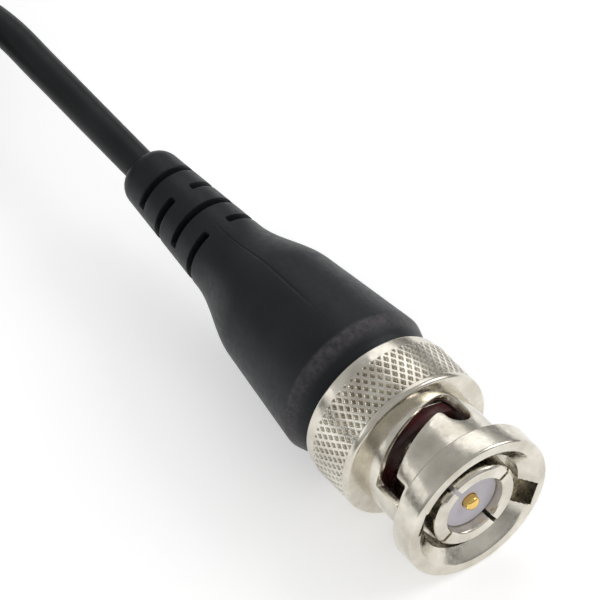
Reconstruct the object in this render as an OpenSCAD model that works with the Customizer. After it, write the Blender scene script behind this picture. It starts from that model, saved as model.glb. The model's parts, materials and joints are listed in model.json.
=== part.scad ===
// Oscilloscope probe: a bayonet plug with a moulded boot, its lead folded into
// a tied hank, and the passive probe head strapped on top of the hank.
// The plug lies along Y with its mouth towards -Y, and the table is at z = 0.

/* [Coupling nut] */
// Radius of the front flange
flange_r = 7.1; // [6.9:0.05:7.2]
// Length of the front flange
flange_len = 2.5; // [2.2:0.1:2.8]
// Radius of the barrel that the cam slots are cut in
barrel_r = 5.75; // [5.7:0.05:5.9]
// Length of the barrel
barrel_len = 6.1; // [6:0.1:6.6]
// Radius over the collar and its knurl
collar_r = 7.25; // [7.2:0.05:7.5]
// Length of the collar's plain rim
rim_len = 0.7; // [0.6:0.1:1]
// Length of the knurled band
knurl_len = 4.05; // [3.6:0.05:4.4]
// Radius of the plain band behind the knurl
band_r = 7.0; // [6.95:0.05:7.1]
// Length of the plain band behind the knurl
band_len = 1.25; // [1.1:0.05:1.5]
// Radius of the bore that the mating jack enters
nut_bore_r = 4.9; // [4.86:0.01:4.95]
// Width of the flange's front face round the mouth
rim_w = 1; // [0.9:0.05:1.4]
// Depth of the mouth's lead-in
mouth_depth = 1.1; // [1:0.1:2.2]
// Radius of the cavity that holds the spring washers
cavity_r = 6.1; // [6.05:0.01:6.15]
// Diamonds round the knurl
knurl_count = 60; // [40:2:72]
// Rows of half diamonds along the knurl
knurl_rows = 7; // [5:2:9]
// Depth of the knurl's pits
knurl_depth = 0.3; // [0.15:0.05:0.3]
// Roll of the nut about the plug's axis as it lies
nut_roll = 242.4; // [0:0.1:359.9]

/* [Cam slots] */
// Radius of the circle over the jack's two lugs
lug_r = 5.5; // [5.4:0.02:5.52]
// Width of the lug's way along the slot
lug_way = 2.1; // [2.05:0.05:2.2]
// Width of the entry channel
entry_w = 2.35; // [2.2:0.05:2.5]
// Angle of the entry channel's middle from the slot's middle
entry_angle = 43; // [40:1:46]
// Axial place of the entry window's front edge
entry_front = 3.6; // [3.2:0.1:4]
// Axial place of the ramp's rear edge at the slot's middle
ramp_rear = 7.4; // [7.2:0.05:7.5]
// Axial rise of the ramp's rear edge in each degree
ramp_slope = 0.018; // [0.015:0.001:0.02]
// Width of the window where it meets the detent pocket
window_w = 1.25; // [1.1:0.05:1.5]
// Radius of the land's corner beside the detent pocket
land_round = 0.6; // [0.3:0.05:0.6]
// Angle of the detent pocket's middle from the slot's middle
detent_angle = 50.5; // [48:0.5:54]
// Radius of the detent pocket's round ends
detent_r = 1.25; // [1.1:0.05:1.3]
// Axial place of the detent pocket's front end
detent_front = 4.85; // [4.6:0.05:5.2]
// Wall left outside the lug channel in the flange
channel_wall = 0.9; // [0.7:0.05:1.1]

/* [Contacts] */
// Outer contact's radius
contact_r = 4.15; // [4.05:0.01:4.2]
// Radius inside the outer contact's fingers
contact_bore_r = 2.85; // [2.6:0.05:3]
// Set-back of the outer contact behind the flange's front face
contact_front = 0.4; // [0.3:0.05:0.8]
// Width of the slits between the fingers
slit_w = 0.35; // [0.25:0.05:0.45]
// Axial end of the slits
slit_end = 6; // [5:0.1:6.5]
// Slits round the outer contact
slit_count = 4; // [3:1:6]
// Set-back of the insulator's face
insulator_front = 1.3; // [1.25:0.05:2.4]
// Centre pin's radius
pin_r = 0.675; // [0.65:0.005:0.7]
// Set-back of the centre pin's tip
pin_front = 0.5; // [0.4:0.05:0.7]
// Radius of the bore behind the insulator
core_bore_r = 1.3; // [1.25:0.05:1.4]

/* [Boot] */
// Gap between the nut and the boot
boot_gap = 0.3; // [0.2:0.05:0.4]
// Radius of the boot's front face
boot_front_r = 6.7; // [6.6:0.05:6.9]
// Largest radius of the boot
boot_r = 7.2; // [7.1:0.05:7.4]
// Length of the boot's front lip up to its largest radius
lip_len = 2.5; // [2:0.1:3]
// Radius at the end of the boot's long taper
taper_r = 5.85; // [5.6:0.05:6.2]
// Length of the boot's long taper
taper_len = 10.1; // [9.5:0.1:11]
// Length of the neck down to the strain relief
neck_len = 7.3; // [7:0.1:8]
// Radius at the start of the strain relief
tail_r = 3.7; // [3.6:0.02:4]
// Radius at the end of the strain relief
tail_end_r = 2.75; // [2.5:0.05:2.9]
// Length of the strain relief
tail_len = 10.7; // [10.5:0.1:12]
// Length of the strain relief's rounded end
cap_len = 1.6; // [1.4:0.1:1.9]
// Rings of slots in the strain relief
slot_rings = 4; // [3:1:4]
// Spacing of those rings
slot_pitch = 2.57; // [2.3:0.01:2.6]
// Width of each slot
slot_w = 0.65; // [0.4:0.05:0.8]
// Angle of the web left at each end of a slot
slot_web = 36; // [24:1:50]
// Radius left uncut under the slots
slot_floor_r = 2.05; // [2:0.05:2.15]
// Wall of the boot over the inner mould
boot_wall = 1.3; // [1.1:0.05:1.5]
// Roll of the boot about the plug's axis as it lies
boot_roll = 260.4; // [0:0.1:359.9]

/* [Lead] */
// Diameter of the lead
cord_d = 2.95; // [2.85:0.05:3]
// Thickness of the hank's strap
strap_t = 0.7; // [0.6:0.05:0.9]
// Width of the hank's strap
strap_w = 10; // [8:0.5:12]

/* [Probe head] */
// Radius of the handle
handle_r = 4.9; // [4.8:0.05:5]
// Wall of the handle's shells
handle_wall = 1.2; // [1.1:0.05:1.3]
// Length of the handle's shells
handle_len = 50; // [48:0.5:51]
// Length of the strain relief behind the handle
relief_len = 16; // [14:0.5:16]
// Radius of the finger guard
guard_r = 8; // [7:0.1:8.4]
// Thickness of the finger guard
guard_t = 3; // [2.4:0.1:3.4]
// Radius of the grounded barrel at the tip
sleeve_r = 2.5; // [2.4:0.02:2.5]
// Radius of the needle tip
needle_r = 0.5; // [0.4:0.02:0.55]
// Radius of the retracting hook sheath
sheath_r = 4.5; // [4.3:0.05:4.8]
// Length of the hook sheath
sheath_len = 29; // [28.5:0.5:30]
// Travel of the hook sheath
sheath_travel = 6; // [4:0.5:6]
// Diameter of the hook's wire
hook_wire_d = 0.7; // [0.5:0.05:0.8]
// Travel of the attenuation switch
switch_travel = 2.6; // [2:0.1:3]

/* [Hidden] */
$fn = 72;

// the lead's own points: out of the plug and down to the hank, then from the
// hank's top up to the head
cable_route = [
    [0, -0.5, 7.25], [0, 7, 7.25], [0, 15, 7.25], [0, 23, 7.25], [0, 31, 7.25],
    [0, 38, 7.25], [0, 44, 7.1], [0, 50, 5.2], [0, 56, 2.7], [0, 62, 2.2]
];
head_route = [
    [-18.6, 53, 10.1], [-13.4, 51.6, 11.4], [-8.2, 53, 12.6], [-4.4, 56.8, 13.6],
    [-2.95, 62, 14.3], [-2.95, 68, 14.5], [-2.95, 74, 14.5], [-2.95, 81, 14.5],
    [-2.95, 88, 14.5]
];

// clearances
run_gap = 0.08;
seat_gap = 0.02;
face_gap = 0.05;
window_step = 0.05;
over = 1;

// axial places along the plug, measured back from the flange's front face
mouth_r = flange_r - rim_w;
channel_r = flange_r - channel_wall;
barrel_end = flange_len + barrel_len;
knurl_front = barrel_end + rim_len;
knurl_rear = knurl_front + knurl_len;
nut_len = knurl_rear + band_len;
boot_front = nut_len + boot_gap;
ridge_at = boot_front + lip_len;
neck_at = ridge_at + taper_len;
tail_at = neck_at + neck_len;
cap_at = tail_at + tail_len;
plug_len = cap_at + cap_len;
axis_h = max(boot_r, collar_r, flange_r);

// spring pack inside the nut
cavity_front = barrel_end + 0.9;
shoulder_r = nut_bore_r - run_gap;
shoulder_front = cavity_front - 1.2;
gasket_t = 0.95;
gasket_front = shoulder_front - gasket_t;
gasket_seat_r = contact_r - 0.2;
contact_chamfer = 0.25;
contact_bevel = 0.15;
body_flange_t = 0.8;
body_flange_front = cavity_front + face_gap;
body_flange_rear = body_flange_front + body_flange_t;
body_flange_r = cavity_r - 0.15;
body_tube_r = 4.35;
wave_t = 0.25;
wave_amp = 0.32;
wave_space = 1.9;
thrust_front = body_flange_rear + wave_space;
thrust_t = 0.5;
thrust_rear = thrust_front + thrust_t;
snap_front = thrust_rear + face_gap;
snap_t = 0.4;
snap_groove_r = cavity_r + 0.35;

// rear of the plug's body and the crimp
insulator_end = 10.4;
rear_insulator_end = 12.2;
anchor_r = 5.2;
anchor_t = 0.8;
anchor_front = boot_front + 0.5;
anchor_rear = anchor_front + anchor_t;
post_r = 1.95;
post_len = 6;
post_end = anchor_rear + post_len;
braid_t = 0.2;
ferrule_t = 0.45;
ferrule_r = post_r + braid_t + ferrule_t + 2 * seat_gap;
cable_start = plug_len / 2 + cable_route[0][1] - seat_gap;
conductor_r = 0.25;
dielectric_r = 1.15;
pin_dome_r = 0.6;
pin_dome_len = 0.4;
pin_seat_r = pin_r - 0.18;
pin_seat_front = insulator_front - seat_gap;
pin_barrel_r = 1.05;
pin_barrel_front = 8.5;
pin_end = insulator_end - 0.05;
conductor_front = pin_end - 0.9;
mould_end = tail_at - 1.5;

// the hank's centreline, and the head that lies on it
cord_r = cord_d / 2;
fold_r = 10.4;
hank_x = -(fold_r + cord_d);
hank_y0 = 62;
hank_run = 56;
hank_layers = 3;
hank_z = strap_t;
hank_h = hank_layers * cord_d;
hank_top = hank_z + hank_h;
hank_r = fold_r + 1.5 * cord_d;
strap_y = 93;
head_x = hank_x + fold_r;
head_y = 68;
head_z = hank_top + handle_r + face_gap;
head_bottom_gap = 0.1;

// axial places along the head, measured forward from its rear end
handle_front = relief_len + handle_len;
handle_bore_r = handle_r - handle_wall;
relief_neck_r = 2.6;
relief_collar_r = 3.9;
relief_neck_len = 2;
relief_flange_r = handle_bore_r - 0.2;
relief_end = relief_len + relief_neck_len + 2;
board_front = relief_end + 4;
board_len = 34;
board_t = 0.8;
board_y = 0.8;
board_w = 2 * sqrt(pow(handle_bore_r - 0.08, 2) - pow(board_y + board_t, 2));
trimmer_at = 37;
trimmer_r = 2;
trimmer_h = 1.6;
trimmer_hole_r = 1.2;
rotor_r = 1.4;
rotor_h = 0.7;
switch_at = 50;
stem_len = 3;
stem_w = 2;
button_len = 6.8;
button_w = 4.8;
button_sink = 0.5;
button_gap = 0.2;
stop_gap = 0.8;
stem_gap = 0.1;
guard_front = handle_front + guard_t;
nose_end = guard_front + 6;
nose_r = 4.2;
spigot_len = 6;
sleeve_seat = 8;
sleeve_rear = handle_front - sleeve_seat;
sleeve_len = 34;
sleeve_end = sleeve_rear + sleeve_len;
sleeve_wall = 0.55;
ring_r = 3.3;
ring_len = 3.2;
tip_insulator_r = sleeve_r - sleeve_wall - seat_gap;
tip_insulator_end = sleeve_end + 2;
needle_rear = board_front + board_len - 2;
needle_end = tip_insulator_end + 3;
carrier_set = 9;
carrier_rear = nose_end + carrier_set;
carrier_r = 3.15;
carrier_end = needle_end + 1;
sheath_rear = nose_end + ring_len + sheath_travel + 0.8;
sheath_end = sheath_rear + sheath_len;
sheath_bore_r = carrier_r + 0.1;
spring_len = 10;
spring_end = carrier_end + spring_len;
spring_r = 2.3;
spring_wire_r = 0.27;
spring_turns = 6;
nozzle_r = 1.9;
hook_r = 0.8;
hook_at = sheath_end + 1;

// ---- helpers -------------------------------------------------------------

// Local +Z runs along the plug, back from the flange's front face.
module at_plug() {
    translate([0, -plug_len / 2, axis_h]) rotate([-90, 0, 0]) children();
}

// Local +Z runs along the head, forward from its rear end; local -Y is up.
module at_head() {
    translate([head_x, head_y, head_z]) rotate([-90, 0, 0]) children();
}

module tube(outer_r, inner_r, from, to) {
    translate([0, 0, from])
        difference() {
            cylinder(r = outer_r, h = to - from);
            translate([0, 0, -over]) cylinder(r = inner_r, h = to - from + 2 * over);
        }
}

module rod(r, from, to) {
    translate([0, 0, from]) cylinder(r = r, h = to - from);
}

// Points of an arc about (cr, cz) in a profile's half plane
function arc(cr, cz, e, a0, a1, n = 4) =
    [for (i = [0:n]) let (a = a0 + (a1 - a0) * i / n) [cr + e * cos(a), cz + e * sin(a)]];

function smooth(t) = let (u = min(1, max(0, t))) u * u * (3 - 2 * u);

// ---- coupling nut ---------------------------------------------------------

function nut_outline() = concat(
    [[0, 0]],
    arc(flange_r - 0.3, 0.3, 0.3, -90, 0),
    arc(flange_r - 0.15, flange_len - 0.15, 0.15, 0, 90),
    [[barrel_r, flange_len], [barrel_r, barrel_end]],
    arc(collar_r - 0.35, barrel_end + 0.35, 0.35, -90, 0),
    [
        [collar_r, knurl_front], [collar_r - knurl_depth - 0.1, knurl_front],
        [collar_r - knurl_depth - 0.1, knurl_rear], [band_r, knurl_rear]
    ],
    arc(band_r - 0.2, nut_len - 0.2, 0.2, 0, 90),
    [[0, nut_len]]
);

// Staggered lattice of ridges with a pit in each diamond, on a thin ring
module knurl() {
    n = knurl_count;
    rows = knurl_rows;
    step = 360 / n;
    pitch = knurl_len / rows;
    outer = collar_r - 0.02;
    inner = collar_r - knurl_depth - 0.3;
    function at(r, a, j) = [r * cos(a), r * sin(a), knurl_front + j * pitch];
    ridge = [for (j = [0:rows]) for (i = [0:n - 1]) at(outer, (i + (j % 2) / 2) * step, j)];
    pit = [for (j = [1:rows - 1]) for (i = [0:n - 1])
        at(outer - knurl_depth, (i + ((j + 1) % 2) / 2) * step, j)];
    lining = [for (j = [0, rows]) for (i = [0:n - 1]) at(inner, (i + (j % 2) / 2) * step, j)];
    function r_(j, i) = j * n + (i + n) % n;
    function p_(j, i) = (rows + 1) * n + (j - 1) * n + (i + n) % n;
    function l_(k, i) = 2 * rows * n + k * n + (i + n) % n;
    cells = [for (j = [1:rows - 1]) for (i = [0:n - 1])
        let (left = r_(j, i - j % 2), right = r_(j, i + 1 - j % 2), c = p_(j, i),
             below = r_(j - 1, i), above = r_(j + 1, i))
        each [[c, left, above], [c, above, right], [c, right, below], [c, below, left]]];
    ends = [for (i = [0:n - 1]) each [
        [r_(1, i), r_(0, i + 1), r_(0, i)],
        [r_(rows - 1, i + rows % 2), r_(rows, i), r_(rows, i + 1)],
        [r_(0, i), r_(0, i + 1), l_(0, i + 1), l_(0, i)],
        [r_(rows, i + 1), r_(rows, i), l_(1, i), l_(1, i + 1)],
        [l_(0, i), l_(0, i + 1), l_(1, i)],
        [l_(0, i + 1), l_(1, i + 1), l_(1, i)]
    ]];
    polyhedron(concat(ridge, pit, lining), concat(cells, ends));
}

// A stepped helical cutter from the entry channel to the detent: the lug's way
// inside, and the narrower window through the barrel's wall
module ramp_cutter(inside, groove_r, outside) {
    overlap = 2;
    steps = 12;
    first = entry_angle - overlap;
    last = overlap - detent_angle;
    corner = asin(detent_r / barrel_r) - detent_angle - overlap / 2;
    round_angle = land_round / barrel_r * 180 / PI;
    widest = lug_way - window_step;
    angles = concat(
        [for (k = [0:steps - 1]) first + (corner + round_angle - first) * k / steps],
        [for (t = [0, 0.5, 0.8, 1]) corner + round_angle * (1 - t)],
        [last]
    );
    n = len(angles) - 1;
    function rear(a) = ramp_rear - ramp_slope * a;
    function drop(a) = let (t = max(0, min(1, (corner + round_angle - a) / round_angle)))
        land_round * (1 - sqrt(1 - t * t));
    function window(a) = widest + (window_w - widest) * (first - a) / (first - last);
    function at(r, a, z) = [r * cos(-a), r * sin(-a), z];
    corners = [for (a = angles)
        let (z1 = rear(a), z0 = z1 - lug_way, w0 = z1 - min(widest, window(a) + drop(a)))
        each [at(inside, a, z0), at(inside, a, z1), at(outside, a, z1),
              at(outside, a, w0), at(groove_r, a, w0), at(groove_r, a, z0)]];
    sides = [for (k = [0:n - 1]) for (s = [0:5])
        let (a = 6 * k + s, b = 6 * k + (s + 1) % 6)
        each [[a, a + 6, b], [b, a + 6, b + 6]]];
    polyhedron(corners, concat(sides,
        [[for (s = [0:5]) s]], [[for (s = [5:-1:0]) 6 * n + s]]));
}

module radial_box(angle, from_r, to_r, width, from, to) {
    rotate([0, 0, -angle])
        translate([from_r, -width / 2, from]) cube([to_r - from_r, width, to - from]);
}

module radial_hole(angle, from_r, to_r, r, at) {
    rotate([0, 0, -angle])
        translate([from_r, 0, at]) rotate([0, 90, 0]) cylinder(r = r, h = to_r - from_r);
}

// One lug's way: flange channel, entry window, ramp and detent pocket
module cam_slot() {
    inside = nut_bore_r - 0.4;
    groove_r = lug_r + 0.06;
    entry_rear = ramp_rear - ramp_slope * entry_angle;
    detent_rear = ramp_rear + ramp_slope * detent_angle - 0.2;
    radial_box(entry_angle, inside, channel_r, entry_w, -over, flange_len - 0.1);
    radial_box(entry_angle, inside, groove_r, entry_w, 0, entry_rear);
    radial_box(entry_angle, inside, barrel_r + over, entry_w, entry_front, entry_rear);
    ramp_cutter(inside, groove_r, barrel_r + over);
    radial_hole(-detent_angle, inside, barrel_r + over, detent_r, detent_front + detent_r);
    radial_hole(-detent_angle, inside, barrel_r + over, detent_r, detent_rear - detent_r + 0.2);
    radial_box(-detent_angle, inside, barrel_r + over, 2 * detent_r,
        detent_front + detent_r, detent_rear - detent_r + 0.2);
}

module coupling_nut() {
    color("silver") at_plug() rotate([0, 0, nut_roll])
        difference() {
            union() {
                rotate_extrude() polygon(nut_outline());
                knurl();
            }
            rod(nut_bore_r, -over, nut_len);
            translate([0, 0, -0.001]) cylinder(r1 = mouth_r, r2 = nut_bore_r, h = mouth_depth);
            rod(cavity_r, cavity_front, nut_len + over);
            rod(snap_groove_r, snap_front - face_gap, snap_front + snap_t + face_gap);
            cam_slot();
            rotate([0, 0, 180]) cam_slot();
        }
}

module snap_ring() {
    gap_angle = 30;
    color("dimgray") at_plug() rotate([0, 0, nut_roll])
        rotate_extrude(angle = 360 - gap_angle)
            translate([cavity_r - 0.85, snap_front])
                square([snap_groove_r - cavity_r + 0.8, snap_t]);
}

module thrust_washer() {
    color("gainsboro") at_plug()
        tube(cavity_r - 0.1, body_tube_r + run_gap, thrust_front, thrust_rear);
}

// An annular strip whose height follows a sine, two of them crest to crest
module wave_washer(at, phase) {
    n = 48;
    waves = 3;
    r0 = body_tube_r + 0.15;
    r1 = cavity_r - 0.25;
    function z(a, side) = at + side * wave_t / 2 + wave_amp * sin(waves * a + phase);
    ring = [for (i = [0:n - 1]) let (a = 360 * i / n)
        each [for (c = [[r0, -1], [r1, -1], [r1, 1], [r0, 1]])
            [c[0] * cos(a), c[0] * sin(a), z(a, c[1])]]];
    sides = [for (i = [0:n - 1]) for (s = [0:3])
        let (a = 4 * i + s, b = 4 * i + (s + 1) % 4, e = 4 * n)
        each [[a, b, (a + 4) % e], [b, (b + 4) % e, (a + 4) % e]]];
    polyhedron(ring, sides);
}

module wave_washers() {
    height = wave_t + 2 * wave_amp;
    color("lightsteelblue") at_plug() {
        wave_washer(body_flange_rear + height / 2 + 0.02, 0);
        wave_washer(thrust_front - height / 2 - 0.02, 180);
    }
}

// ---- plug body and contacts -----------------------------------------------

module plug_body() {
    color("silver") at_plug()
        difference() {
            union() {
                rotate_extrude() polygon([
                    [0, contact_front], [contact_r - contact_chamfer, contact_front],
                    [contact_r, contact_front + contact_chamfer],
                    [contact_r, gasket_front], [gasket_seat_r, gasket_front],
                    [gasket_seat_r, shoulder_front], [shoulder_r, shoulder_front],
                    [shoulder_r, body_flange_front], [body_flange_r, body_flange_front],
                    [body_flange_r, body_flange_rear], [body_tube_r, body_flange_rear],
                    [body_tube_r, anchor_front], [anchor_r, anchor_front],
                    [anchor_r, anchor_rear], [post_r, anchor_rear], [post_r, post_end],
                    [0, post_end]
                ]);
            }
            rod(contact_bore_r, 0, rear_insulator_end);
            translate([0, 0, contact_front - 0.001])
                cylinder(r1 = contact_bore_r + contact_bevel, r2 = contact_bore_r, h = contact_bevel);
            rod(core_bore_r, rear_insulator_end - 0.01, post_end + over);
            for (i = [0:slit_count - 1])
                rotate([0, 0, nut_roll - 5 + i * 360 / slit_count])
                    translate([contact_bore_r - 0.5, -slit_w / 2, 0])
                        cube([contact_r, slit_w, slit_end]);
        }
}

module gasket() {
    color("#5a1a20") at_plug()
        tube(shoulder_r - seat_gap, gasket_seat_r + seat_gap, gasket_front, shoulder_front);
}

module insulator() {
    color("white") at_plug()
        difference() {
            rod(contact_bore_r - seat_gap, insulator_front, insulator_end);
            rod(pin_seat_r + seat_gap, 0, insulator_end);
            rod(pin_barrel_r + seat_gap, pin_barrel_front - seat_gap, insulator_end + over);
        }
}

module rear_insulator() {
    color("ivory") at_plug()
        tube(contact_bore_r - seat_gap, conductor_r + 0.05, insulator_end, rear_insulator_end);
}

module centre_pin() {
    color("gold") at_plug()
        difference() {
            rotate_extrude() polygon(concat(
                [[0, pin_end], [0, pin_front]],
                [for (i = [0:5]) [
                    pin_r - pin_dome_r * (1 - sin(18 * i)),
                    pin_front + pin_dome_len * (1 - cos(18 * i))
                ]],
                [[pin_r, pin_seat_front], [pin_seat_r, pin_seat_front],
                 [pin_seat_r, pin_barrel_front], [pin_barrel_r, pin_barrel_front],
                 [pin_barrel_r, pin_end]]
            ));
            rod(conductor_r + 0.02, conductor_front, pin_end + over);
        }
}

module inner_conductor() {
    color("#c9772e") at_plug() rod(conductor_r, conductor_front + 0.05, cable_start);
}

module dielectric() {
    color("whitesmoke") at_plug()
        tube(dielectric_r, conductor_r + seat_gap, rear_insulator_end, cable_start);
}

module braid() {
    color("#b8a184") at_plug()
        tube(post_r + seat_gap + braid_t, post_r + seat_gap, anchor_rear, post_end);
}

module crimp_ferrule() {
    color("silver") at_plug()
        tube(ferrule_r, post_r + braid_t + 2 * seat_gap, anchor_rear + 0.1, post_end + 0.4);
}

// ---- boot ------------------------------------------------------------------

// Radius of the boot at an axial place
function boot_radius(p) =
    p < ridge_at ? boot_front_r + (boot_r - boot_front_r) * sin(90 * (p - boot_front) / lip_len)
    : p < neck_at ? boot_r + (taper_r - boot_r) * (p - ridge_at) / taper_len
    : p < tail_at ? neck_radius((p - neck_at) / neck_len)
    : p < cap_at ? tail_r + (tail_end_r - tail_r) * (p - tail_at) / tail_len
    : cord_r + (tail_end_r - cord_r) * sqrt(max(0, 1 - pow((p - cap_at) / cap_len, 2)));

// A blend from the taper's slope to the strain relief's
function neck_radius(t) = let (
    first = taper_r + (taper_r - boot_r) / taper_len * neck_len * t,
    last = tail_r + (tail_end_r - tail_r) / tail_len * neck_len * (t - 1))
    first + (last - first) * smooth(t);

function stations(from, to, n) = [for (i = [0:n]) from + (to - from) * i / n];

function boot_outline() = [
    for (p = concat(
        stations(boot_front, ridge_at, 5), stations(neck_at, tail_at, 8),
        [for (i = [0:5]) cap_at + cap_len * sin(90 * i / 5)]
    )) [boot_radius(p), p]
];

function mould_radius(p) = boot_radius(p) - boot_wall;

function mould_outline(grow) = concat(
    [[cord_r, anchor_rear]],
    [for (p = [anchor_rear, ridge_at]) [boot_front_r - boot_wall + grow, p]],
    [for (i = [0:5]) let (p = neck_at + (mould_end - neck_at) * i / 5) [mould_radius(p) + grow, p]],
    [[cord_r, mould_end]]
);

module inner_mould() {
    color("#2b2d30") at_plug()
        difference() {
            rotate_extrude() polygon(mould_outline(-seat_gap));
            rod(ferrule_r + seat_gap, 0, post_end + 0.5);
        }
}

// A ring of two arcs cut in the strain relief
module relief_slot(at, roll, outer_r, floor_r, width) {
    for (side = [0, 180])
        rotate([0, 0, roll + side + slot_web / 2])
            rotate_extrude(angle = 180 - slot_web)
                translate([floor_r, at - width / 2]) square([outer_r - floor_r + over, width]);
}

module boot() {
    last = cap_at - 2.1;
    first = last - (slot_rings - 1) * slot_pitch;
    color("#202225") at_plug()
        difference() {
            rotate_extrude() polygon(concat([[cord_r, boot_front]], boot_outline()));
            rod(body_tube_r + seat_gap, 0, anchor_front);
            rod(anchor_r + seat_gap, anchor_front, anchor_rear);
            rotate_extrude() polygon(mould_outline(0));
            for (i = [0:slot_rings - 1])
                relief_slot(first + i * slot_pitch, boot_roll + 90 * (i % 2), boot_r,
                    slot_floor_r, slot_w);
        }
}

// ---- lead ------------------------------------------------------------------

function unit(v) = v / norm(v);

// A tube with flat ends, swept along a list of points
module swept_tube(route, r, sides = 8) {
    last = len(route) - 1;
    function way(i) = unit(route[min(last, i + 1)] - route[max(0, i - 1)]);
    function right(i) = unit(cross(way(i), [0, 0, 1]));
    ring = [for (i = [0:last]) let (u = right(i), v = cross(u, way(i)))
        each [for (s = [0:sides - 1]) let (a = 360 * (s + 0.5) / sides)
            route[i] + r * (cos(a) * u + sin(a) * v)]];
    skin = [for (i = [0:last - 1]) for (s = [0:sides - 1])
        let (a = i * sides + s, b = i * sides + (s + 1) % sides)
        each [[a, a + sides, b], [b, a + sides, b + sides]]];
    polyhedron(ring, concat(skin,
        [[for (s = [0:sides - 1]) s]],
        [[for (s = [sides - 1:-1:0]) last * sides + s]]));
}

module cable() {
    color("#23262a") swept_tube(cable_route, cord_r);
}

module head_lead() {
    color("#23262a") swept_tube(head_route, cord_r);
}

// The folded lead's outer shape: two runs joined by round folds
module cable_hank() {
    module racetrack(r, from, to) {
        translate([0, 0, from]) linear_extrude(to - from) {
            translate([hank_x, hank_y0]) circle(r = r);
            translate([hank_x, hank_y0 + hank_run]) circle(r = r);
            translate([hank_x - r, hank_y0]) square([2 * r, hank_run]);
        }
    }
    color("#1b1d20")
        difference() {
            racetrack(hank_r, hank_z, hank_top);
            racetrack(fold_r - cord_r, 0, hank_top + over);
        }
}

// Strap round both runs of the hank and the handle on top
module hank_strap() {
    module bundle(grow) {
        hull() {
            translate([hank_x - hank_r - grow, hank_z - grow])
                square([2 * hank_r + 2 * grow, hank_h + 2 * grow]);
            translate([head_x, head_z]) circle(r = handle_r + head_bottom_gap + grow, $fn = 48);
        }
    }
    color("#17181a") translate([0, strap_y + strap_w / 2, 0]) rotate([90, 0, 0])
        linear_extrude(strap_w)
            difference() {
                bundle(strap_t);
                bundle(0);
            }
}

// ---- probe head ------------------------------------------------------------

module head_strain_relief() {
    tip_r = cord_r + 1;
    tip_round = 0.3;
    root_r = 3.5;
    collar_len = 2;
    first_slot = 2.4;
    slot_step = 2.8;
    color("#202225") at_head()
        difference() {
            rotate_extrude() polygon([
                [cord_r, 0], [tip_r - tip_round, 0], [tip_r, tip_round],
                [root_r, relief_len - collar_len], [relief_collar_r, relief_len - collar_len],
                [relief_collar_r, relief_len], [relief_neck_r, relief_len],
                [relief_neck_r, relief_len + relief_neck_len],
                [relief_flange_r, relief_len + relief_neck_len],
                [relief_flange_r, relief_end], [cord_r, relief_end]
            ]);
            for (i = [0:3])
                relief_slot(first_slot + i * slot_step, 90 * (i % 2), root_r, slot_floor_r, slot_w);
        }
}

// The handle's outer form, before it is split into two shells
module handle_form() {
    waist_rear = handle_front - 10;
    waist_from = handle_front - 7;
    waist_to = handle_front - 4;
    waist_r = handle_r - 0.35;
    difference() {
        rotate_extrude() polygon(concat(
            [[0, relief_len]],
            arc(handle_r - 1, relief_len + 1, 1, -90, 0),
            [[handle_r, waist_rear], [waist_r, waist_from],
             [waist_r, waist_to], [handle_r, handle_front]],
            [[0, handle_front]]
        ));
        rod(handle_bore_r, relief_len + relief_neck_len, handle_front + over);
        rod(relief_neck_r + 0.02, 0, handle_front);
    }
}

module half(side) {
    reach = handle_r + over;
    intersection() {
        children();
        translate([-reach, side > 0 ? 0 : -reach, 0]) cube([2 * reach, reach, handle_front + over]);
    }
}

// A box on the head's upper side, between two axial places and two heights
module upper_box(width, from, to, low, high) {
    translate([-width / 2, -high, from]) cube([width, high - low, to - from]);
}

module handle_top() {
    color("#26292d") at_head()
        difference() {
            half(-1) handle_form();
            translate([0, 0, trimmer_at]) rotate([90, 0, 0])
                cylinder(r = trimmer_hole_r, h = handle_r + over);
            upper_box(stem_w + 2 * stem_gap, switch_at - stem_len / 2 - stem_gap,
                switch_at + stem_len / 2 + switch_travel + stem_gap, 0, handle_r + over);
            upper_box(button_w + 2 * button_gap, switch_at - button_len / 2 - stop_gap,
                switch_at + button_len / 2 + switch_travel + stop_gap,
                handle_r - button_sink - face_gap, handle_r + over);
        }
}

module handle_bottom() {
    color("#26292d") at_head() half(1) handle_form();
}

module head_board() {
    color("#1f6b3a") at_head()
        translate([-board_w / 2, board_y, board_front]) cube([board_w, board_t, board_len]);
}

module head_wires() {
    color("#c9772e") at_head() {
        translate([0, board_y - conductor_r - 0.01, 0]) rod(conductor_r, relief_end, board_front + 3);
        translate([1.8, board_y - conductor_r - 0.01, 0]) rod(conductor_r, relief_end, board_front + 3);
    }
}

module trimmer_base() {
    color("#d8d2c0") at_head()
        translate([0, board_y, trimmer_at]) rotate([90, 0, 0]) cylinder(r = trimmer_r, h = trimmer_h);
}

module trimmer_rotor() {
    color("#c8a24a") at_head()
        translate([0, board_y - trimmer_h - 0.02, trimmer_at]) rotate([90, 0, 0])
            difference() {
                cylinder(r = rotor_r, h = rotor_h);
                translate([-rotor_r - over, -0.2, rotor_h - 0.35])
                    cube([2 * rotor_r + 2 * over, 0.4, 0.4]);
            }
}

module tip_resistor() {
    body_r = 0.75;
    body_len = 6;
    wire_r = 0.25;
    wire_len = 1.5;
    from_board_front = 24;
    at = board_front + from_board_front;
    color("#4f7fa8") at_head()
        translate([0, board_y - body_r, 0]) {
            rod(body_r, at, at + body_len);
            rod(wire_r, at - wire_len, at);
            rod(wire_r, at + body_len, at + body_len + wire_len);
        }
}

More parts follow.
